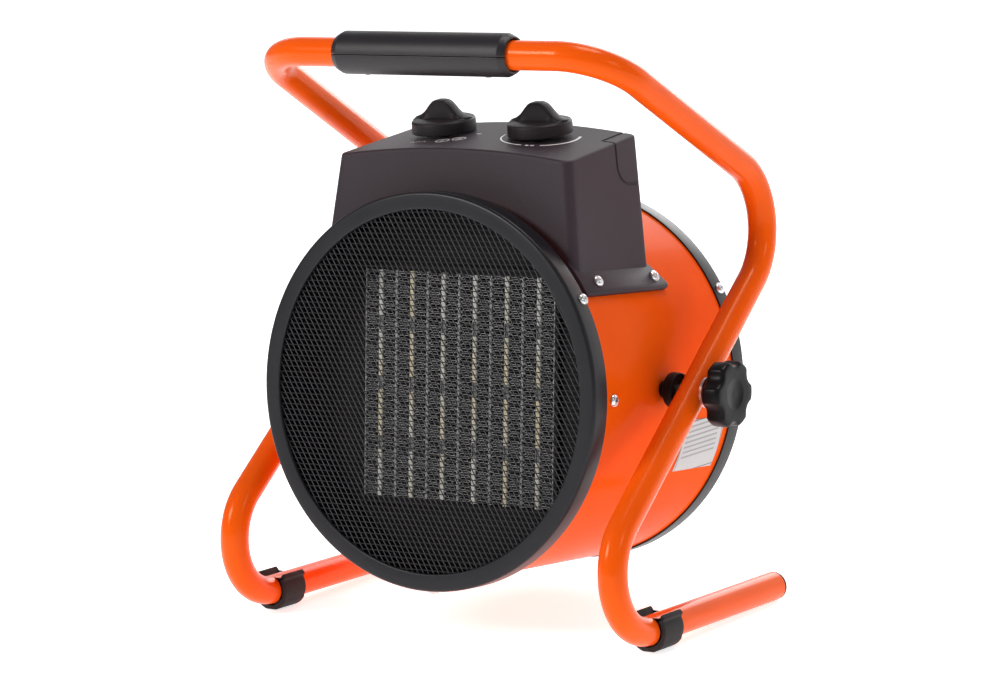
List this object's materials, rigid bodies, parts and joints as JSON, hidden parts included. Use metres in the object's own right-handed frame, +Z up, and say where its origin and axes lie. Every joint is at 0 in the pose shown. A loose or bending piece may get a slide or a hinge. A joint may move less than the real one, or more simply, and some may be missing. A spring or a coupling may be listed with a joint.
{
  "type": "ceramic space heater",
  "caption": "Portable fan heater: a round drum with a ceramic heating grid and a control box tilts in a bent-tube stand with a hand grip.",
  "frame": {"origin": "on the floor under the middle of the stand, half way between the feet and half way along the depth", "axes": "+Z up, the warm air leaves towards -Y, +X to the right for someone who looks along +Y at the front"},
  "size_m": [0.355, 0.2288, 0.391],
  "materials": {
    "orange_coat": "gloss powder coat",
    "charcoal_plastic": "fine texture",
    "knob_plastic": "satin",
    "black_rubber": "matte",
    "black_plastic": "satin",
    "zinc": "zinc plated",
    "dark_enamel": "satin enamel",
    "guard_mesh": "satin enamel",
    "galvanised": "dull",
    "label_foil": "satin",
    "cream_plastic": "satin",
    "heater_ceramic": "matte",
    "fin_foil": "dull",
    "copper_tube": "satin",
    "red_insulation": "satin",
    "blue_insulation": "satin",
    "fan_plastic": "satin"
  },
  "bodies": {
    "stand": {"frame_tube": "orange_coat", "grip_upper": "charcoal_plastic", "grip_lower": "charcoal_plastic", "grip_screws": "zinc", "left_foot_clip": "black_rubber", "right_foot_clip": "black_rubber", "left_end_cap": "black_plastic", "right_end_cap": "black_plastic"},
    "mode_dial": {"mode_knob": "knob_plastic", "mode_spindle": "zinc"},
    "thermostat_dial": {"thermostat_knob": "knob_plastic", "thermostat_spindle": "zinc"},
    "left_clamp": {"left_star_knob": "knob_plastic", "left_stud": "zinc", "left_washer": "zinc"},
    "right_clamp": {"right_star_knob": "knob_plastic", "right_stud": "zinc", "right_washer": "zinc"},
    "fan_rotor": {"fan": "fan_plastic", "motor_rotor": "zinc"},
    "drum": {"left_spacer": "black_plastic", "right_spacer": "black_plastic", "left_pivot_nut": "zinc", "right_pivot_nut": "zinc", "drum_shell": "orange_coat", "heat_shield": "galvanised", "front_ring": "dark_enamel", "front_guard": "guard_mesh", "rear_ring": "dark_enamel", "rear_guard": "guard_mesh", "ring_screws": "zinc", "shield_screws": "zinc", "rating_plate": "label_foil", "control_box": "charcoal_plastic", "corner_cover": "charcoal_plastic", "box_screws": "zinc", "cable_gland": "black_plastic", "selector_switch": "cream_plastic", "thermostat": "cream_plastic", "thermostat_bulb": "copper_tube", "terminal_block": "cream_plastic", "baffle_plate": "dark_enamel", "element_frame": "galvanised", "heating_bars": "heater_ceramic", "heating_fins": "fin_foil", "thermal_cutout": "cream_plastic", "motor_bracket": "galvanised", "motor_housing": "galvanised", "heater_leads": "red_insulation", "motor_leads": "blue_insulation"}
  },
  "joints": [
    {"name": "drum_tilt", "type": "hinge", "parent": "stand", "child": "drum", "pos_m": [0, 0.0024, 0.1552], "axis": [-1, 0, 0], "range_deg": [-23, 13]},
    {"name": "left_clamp_screw", "type": "hinge", "parent": "drum", "child": "left_clamp", "pos_m": [0, 0.0024, 0.1552], "axis": [-1, 0, 0], "range_deg": [0, 450]},
    {"name": "right_clamp_screw", "type": "hinge", "parent": "drum", "child": "right_clamp", "pos_m": [0, 0.0024, 0.1552], "axis": [1, 0, 0], "range_deg": [0, 450]},
    {"name": "mode_dial_turn", "type": "hinge", "parent": "drum", "child": "mode_dial", "pos_m": [-0.0378, 0.00164, 0.31659], "axis": [0, -0.0872, 0.9962], "range_deg": [-270, 0]},
    {"name": "thermostat_dial_turn", "type": "hinge", "parent": "drum", "child": "thermostat_dial", "pos_m": [0.0378, 0.00164, 0.31659], "axis": [0, -0.0872, 0.9962], "range_deg": [-300, 0]},
    {"name": "fan_spin", "type": "hinge", "parent": "drum", "child": "fan_rotor", "pos_m": [0, 0.00211, 0.15221], "axis": [0, 0.9952, -0.0976], "continuous": true}
  ]
}
